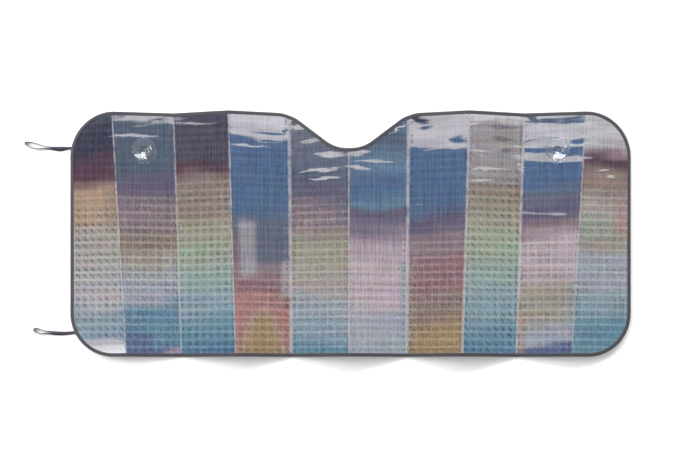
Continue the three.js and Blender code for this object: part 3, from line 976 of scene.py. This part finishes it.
class SUNSHADE_OT_sheet(bpy.types.Operator):
    """Make the folded sheet of foil and bubble film"""

    bl_idname = "sunshade.sheet"
    bl_label = "Folded sheet"

    def execute(self, context):
        s = sizes()
        inset = s.tape_thickness + s.clearance
        half = half_size()[0] - inset
        columns = sheet_columns()
        ends = [column_ends(column, inset) for column in columns]
        bm = bmesh.new()
        bmesh.ops.create_grid(bm, x_segments=len(columns) - 1, y_segments=SHEET_ROWS, size=1)
        for vert in bm.verts:
            i = grid_index(vert.co.x, len(columns) - 1)
            low, high = ends[i]
            y = mix(low, high, (vert.co.y + 1) / 2)
            x = max(-half, min(half, column_place(columns[i], y)))
            vert.co = Vector((x, y, sheet_height(x, y)))
        for swivel in CUP_SWIVELS.values():
            punch_hole(bm, Vector(swivel["pos_m"]), context.scene.sunshade_cup.hole / 2)
        layers = bm.verts.layers
        tint, emboss = (layers.float_color.new(name) for name in ("foil_tint", "emboss"))
        away, width, glare, quilting = (layers.float.new(name) for name in
                                        ("fold_distance", "fold_sheen_width", "glare", "quilting"))
        weights = layers.deform.verify()
        for vert in bm.verts:
            x, y = vert.co.xy
            edges = [abs(x - fold) for fold, _ in folds_at(y)]
            nearest = min(edges)
            vert[away] = nearest
            vert[width] = FOLD_SHEEN_WIDTHS[edges.index(nearest)]
            vert[weights][0] = smooth(s.fold_width / 2, s.fold_width / 2 + s.fold_shoulder, nearest)
            colour, vert[glare], vert[quilting] = foil_look(x, y)
            vert[emboss] = PANELS[panel_at(x, y)[0]]["emboss"]
            vert[tint] = (*colour, 1.0)
        sheet = finish_piece(bm, "folded_foil_sheet", [foil_material(), back_material()])
        sheet.vertex_groups.new(name="thickness")
        shell = sheet.modifiers.new("thickness", "SOLIDIFY")
        shell.thickness = s.sheet_thickness
        shell.offset = 0
        shell.vertex_group = "thickness"
        shell.thickness_vertex_group = s.fold_thickness / s.sheet_thickness
        shell.material_offset = 1
        shell.material_offset_rim = 1
        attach(sheet, "shade")
        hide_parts("shade_sheet")
        return {"FINISHED"}


def binding_section():
    """Section of the folded tape: distance in from the outer edge, height over the sheet's middle, and the
    distance along the tape, from its upper inner edge round the outside to the lower one."""
    s = sizes()
    over = valley_height()
    under = s.sheet_thickness / 2 + TAPE_GAP
    width = s.binding_width
    turns = [math.pi / 2 * (1 - i / TAPE_TURN_STEPS) for i in range(2 * TAPE_TURN_STEPS + 1)]
    round_edge = [(over - over * math.cos(turn), over * math.sin(turn)) for turn in turns]
    upper = [(width, under), (width, over - TAPE_ROUNDING), (width - TAPE_HEM, over)]
    upper.append((width - SEAM_GROOVE, over - SEAM_GROOVE_DEPTH))
    lower = [(inset, -height) for inset, height in reversed(upper)]
    section = upper + round_edge + lower
    lengths = [0.0]
    for (a, b), (c, d) in zip(section, section[1:]):
        lengths.append(lengths[-1] + math.hypot(c - a, d - b))
    return [(inset, height, along) for (inset, height), along in zip(section, lengths)]


class SUNSHADE_OT_binding(bpy.types.Operator):
    """Make the fabric tape that is folded over the edge"""

    bl_idname = "sunshade.binding"
    bl_label = "Edge binding"

    def execute(self, context):
        path = outline(0.0, TAPE_STEP)
        section = binding_section()
        lengths = [0.0]
        for (a, _), (b, _) in zip(path, path[1:] + path[:1]):
            lengths.append(lengths[-1] + (b - a).length)
        bm = bmesh.new()
        uv = bm.loops.layers.uv.new("UVMap")
        bmesh.ops.create_grid(bm, x_segments=len(path), y_segments=len(section), size=1)
        for face in bm.faces:
            for loop in face.loops:
                i = grid_index(loop.vert.co.x, len(path))
                j = grid_index(loop.vert.co.y, len(section))
                across = section[j][2] if j < len(section) else section[-1][2] + sizes().sheet_thickness
                loop[uv].uv = (lengths[i], across)
        for vert in bm.verts:
            point, outward = path[grid_index(vert.co.x, len(path)) % len(path)]
            inset, height, _ = section[grid_index(vert.co.y, len(section)) % len(section)]
            place = point - outward * inset
            vert.co = Vector((place.x, place.y, flat_height(place.x, place.y) + height))
        bmesh.ops.remove_doubles(bm, verts=bm.verts, dist=1e-7)
        bmesh.ops.recalc_face_normals(bm, faces=bm.faces)
        tape = woven_material("binding_tape", tuple(colours().tape), 0.0007, 0.25)
        binding = finish_piece(bm, "binding_tape", [tape])
        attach(binding, "shade")
        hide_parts("edge_binding")
        return {"FINISHED"}


class SUNSHADE_OT_seam(bpy.types.Operator):
    """Make the stitches that hold the binding, on both faces"""

    bl_idname = "sunshade.seam"
    bl_label = "Binding seam"

    def execute(self, context):
        s = sizes()
        path = outline(s.binding_width - SEAM_MARGIN, STITCH_STEP)
        bm = bmesh.new()
        for i, (point, outward) in enumerate(path):
            along = Vector((-outward.y, outward.x, 0.0))
            ahead, behind = (point + way * SLOPE_REACH * along.xy for way in (1, -1))
            rise = flat_height(*ahead) - flat_height(*behind)
            forward = (along * (ahead - behind).length + Vector((0, 0, rise))).normalized()
            up = (Vector((0, 0, 1)) - forward * forward.z).normalized()
            side = up.cross(forward)
            for off in (valley_height() - STITCH_SINK, STITCH_SINK_BELOW - valley_height()):
                base = Vector((point.x, point.y, flat_height(point.x, point.y) + off))
                turn = Matrix((side, forward, up)).transposed().to_4x4()
                place = Matrix.Translation(base) @ turn @ Matrix.Diagonal((*STITCH_HALF_SIZE, 1))
                bmesh.ops.create_icosphere(bm, subdivisions=1, radius=1, matrix=place)
        seam = finish_piece(bm, "binding_stitches", [thread_material()])
        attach(seam, "shade")
        return {"FINISHED"}


def cup_section():
    """Outside and inside of a suction cup, as distances from its axis and along it."""
    c = bpy.context.scene.sunshade_cup
    s = sizes()
    gap = s.clearance
    head_top = -s.sheet_thickness - gap
    foot = head_top - c.head_height
    head, neck, hub, rim = c.head / 2, c.neck / 2, c.hub / 2, c.diameter / 2
    hub_top, hollow, lip = gap + c.hub_height, gap + c.wall, c.height - c.lip

    def curve(start, pull, end, count):
        points = []
        for i in range(1, count + 1):
            t = i / count
            points.append(tuple((1 - t) ** 2 * a + 2 * t * (1 - t) * b + t * t * d
                                for a, b, d in zip(start, pull, end)))
        return points

    section = [(0.0, foot), (head - HEAD_ROUNDING, foot)]
    section += curve(section[-1], (head, foot), (head, foot + HEAD_ROUNDING), 6)
    section += [(neck + FINE_ROUNDING, head_top), (neck, head_top + FINE_ROUNDING)]
    section += [(neck, gap - SHARP_ROUNDING), (neck + SHARP_ROUNDING, gap)]
    section += [(hub - SHADE_RING_INNER, gap), (hub - SHADE_RING_OUTER, gap), (hub - HUB_FOOT, gap)]
    section += [(hub, gap + FINE_ROUNDING), (hub, hub_top - SHARP_ROUNDING), (hub + FINE_ROUNDING, hub_top)]
    section += curve(section[-1], ((hub + rim) / 2, hub_top + (lip - hub_top) / 3), (rim, lip), 14)
    section += [(rim, c.height - SHARP_ROUNDING), (rim - SHARP_ROUNDING, c.height)]
    section.append((rim - c.rim_width, c.height))
    section += curve(section[-1], (rim * HOLLOW_PULL[0], hollow + HOLLOW_PULL[1]), (0.0, hollow), 20)
    return section


class SUNSHADE_OT_cups(bpy.types.Operator):
    """Make the two clear suction cups"""

    bl_idname = "sunshade.cups"
    bl_label = "Suction cups"

    def execute(self, context):
        s, cup = sizes(), context.scene.sunshade_cup
        vinyl = vinyl_material()
        for side in ("left", "right"):
            body = side + "_cup"
            swivel = CUP_SWIVELS[body]
            bm = bmesh.new()
            points = [bm.verts.new((radius, 0.0, height)) for radius, height in cup_section()]
            edges = [bm.edges.new(pair) for pair in zip(points, points[1:])]
            bmesh.ops.spin(bm, geom=points + edges, cent=(0, 0, 0), axis=(0, 0, 1), angle=math.tau,
                           steps=SPIN_STEPS, use_merge=True)
            bmesh.ops.remove_doubles(bm, verts=bm.verts, dist=1e-6)
            bmesh.ops.recalc_face_normals(bm, faces=bm.faces)
            hub, low, high = cup.hub / 2, s.clearance, s.clearance + cup.hub_height
            # Painted shade: a dark ring on the hub's foot
            edge = bm.verts.layers.float.new("hub_foot_shade")
            for vert in bm.verts:
                reach = vert.co.xy.length
                at_foot = reach < hub + NEAR and low - NEAR < vert.co.z < high
                vert[edge] = smooth(hub - SHADE_RING_INNER, hub - SHADE_RING_OUTER, reach) if at_foot else 0.0
            turn = Vector(swivel["axis"]).to_track_quat("Z", "Y").to_matrix().to_4x4()
            bmesh.ops.transform(bm, matrix=Matrix.Translation(swivel["pos_m"]) @ turn, verts=bm.verts)
            piece = finish_piece(bm, side + "_clear_cup", [vinyl])
            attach(piece, body)
            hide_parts(side + "_suction_cup")
        return {"FINISHED"}


def left_edge_at(y):
    s = sizes()
    half, top = half_size()
    into_corner = max(0.0, abs(y) - (top - s.corner_radius))
    return s.corner_radius - half - arc_reach(s.corner_radius, into_corner)


class SUNSHADE_OT_loops(bpy.types.Operator):
    """Make the two flat elastic loops that hold the folded shade"""

    bl_idname = "sunshade.loops"
    bl_label = "Elastic loops"

    def execute(self, context):
        elastic = woven_material("woven_elastic", tuple(colours().elastic), 0.0009, 0.3)
        for name, route, height in (("upper", UPPER_LOOP_ROUTE, UPPER_LOOP_HEIGHT),
                                    ("lower", LOWER_LOOP_ROUTE, LOWER_LOOP_HEIGHT)):
            start = Vector((left_edge_at(height), height, 0))
            data = bpy.data.curves.new(name + "_elastic", "CURVE")
            data.dimensions = "3D"
            data.twist_mode = "Z_UP"
            data.resolution_u = 6
            data.extrude = (ELASTIC_WIDTH - ELASTIC_THICKNESS) / 2
            data.bevel_depth = ELASTIC_THICKNESS / 2
            data.bevel_resolution = 2
            data.use_fill_caps = True
            spline = data.splines.new("BEZIER")
            spline.bezier_points.add(len(route) - 1)
            for point, (x, y, z, turn) in zip(spline.bezier_points, route):
                point.co = start + Vector((x, y, z))
                point.handle_left_type = point.handle_right_type = "AUTO"
                point.tilt = math.radians(90 - turn)
            band = bpy.data.objects.new(name + "_elastic_band", data)
            context.scene.collection.objects.link(band)
            data.materials.append(elastic)
            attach(band, "shade")
            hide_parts(name + "_elastic_loop")
        return {"FINISHED"}


def area_light(name, place, target, width, height, radiance, mirrored=True):
    """A soft light of a brightness where 1 is white. Glossy surfaces show its face only if it is mirrored."""
    data = bpy.data.lights.new(name, "AREA")
    data.shape = "RECTANGLE"
    data.size = width
    data.size_y = height
    data.energy = radiance * math.pi * width * height
    light = bpy.data.objects.new(name, data)
    light.location = place
    light.rotation_euler = (Vector(target) - Vector(place)).to_track_quat("-Z", "Y").to_euler()
    light.visible_camera = False
    light.visible_glossy = mirrored
    bpy.context.scene.collection.objects.link(light)
    return light


class SUNSHADE_OT_stage(bpy.types.Operator):
    """Make the floor, the light and the camera"""

    bl_idname = "sunshade.stage"
    bl_label = "Floor, light and camera"

    def execute(self, context):
        scene = context.scene
        bm = bmesh.new()
        bmesh.ops.create_grid(bm, x_segments=1, y_segments=1, size=14)
        material, tree, shader = new_material("pale_floor")
        dress(shader, {"Base Color": colours().floor, "Roughness": 0.9, "Specular IOR Level": 0.1})
        floor = finish_piece(bm, "floor", [material], smooth_faces=False)

        world = bpy.data.worlds.new("studio")
        scene.world = world
        world.use_nodes = True
        sky = world.node_tree
        camera_ray, glossy_ray, clear_ray = (add_node(sky, "LightPath", output="Is %s Ray" % ray)
                                             for ray in ("Camera", "Glossy", "Transmission"))
        seen = calc("ADD", camera_ray + glossy_ray, clear_ray, clamp=True)
        dress(sky.nodes["Background"], {"Color": (1, 1, 1), "Strength": seen * 0.28 + 0.68})

        area_light("upper_softbox", (0.55, 1.75, 2.3), (0.3, 0.2, 0), 3.1, 1.6, 0.2)
        area_light("strip", (0.15, 3.05, 2.1), (0, 0, 0), 3.3, 0.75, 14.0)
        area_light("key", (-3.0, 2.0, 2.2), (0, 0, 0), 1.6, 1.6, 11.0, mirrored=False)
        area_light("side", (-3.4, 0.2, 1.3), (0, 0, 0), 1.4, 0.8, 24.0, mirrored=False)

        lens = bpy.data.cameras.new("camera")
        lens.sensor_width = 36
        camera = bpy.data.objects.new("camera", lens)
        scene.collection.objects.link(camera)
        scene.camera = camera
        lens.lens = lens.sensor_width * CAMERA_HEIGHT / SEEN_WIDTH
        camera.location = (*CAMERA_SEAT, CAMERA_HEIGHT + valley_height())
        off = (PICTURE_MIDDLE - SHADE_MIDDLE) * SEEN_WIDTH / PICTURE_WIDTH
        lens.shift_x = (off.x - CAMERA_SEAT.x) / SEEN_WIDTH
        lens.shift_y = (-off.y - CAMERA_SEAT.y) / SEEN_WIDTH
        scene.view_settings.view_transform = "Standard"
        return {"FINISHED"}


class SUNSHADE_PT_panel(bpy.types.Panel):
    """The steps that build the sunshade"""

    bl_idname = "SUNSHADE_PT_panel"
    bl_label = "Windscreen sunshade"
    bl_space_type = "VIEW_3D"
    bl_region_type = "UI"
    bl_category = "Sunshade"

    def draw(self, context):
        for step in STEPS:
            self.layout.operator(step.bl_idname)
        scene = context.scene
        for settings in (scene.sunshade_sizes, scene.sunshade_cup, scene.sunshade_colours):
            box = self.layout.box()
            for name in settings.__annotations__:
                box.prop(settings, name)


STEPS = (SUNSHADE_OT_stage, SUNSHADE_OT_loops, SUNSHADE_OT_sheet, SUNSHADE_OT_binding, SUNSHADE_OT_seam,
         SUNSHADE_OT_cups)
CLASSES = (SunshadeSizes, SunshadeCupSizes, SunshadeColours, *STEPS, SUNSHADE_PT_panel)


def register():
    for cls in CLASSES:
        bpy.utils.register_class(cls)
    bpy.types.Scene.sunshade_sizes = PointerProperty(type=SunshadeSizes)
    bpy.types.Scene.sunshade_cup = PointerProperty(type=SunshadeCupSizes)
    bpy.types.Scene.sunshade_colours = PointerProperty(type=SunshadeColours)


def unregister():
    del bpy.types.Scene.sunshade_colours
    del bpy.types.Scene.sunshade_cup
    del bpy.types.Scene.sunshade_sizes
    for cls in reversed(CLASSES):
        bpy.utils.unregister_class(cls)


def main():
    register()
    for step in STEPS:
        category, name = step.bl_idname.split(".")
        getattr(getattr(bpy.ops, category), name)()


if __name__ == "__main__":
    main()
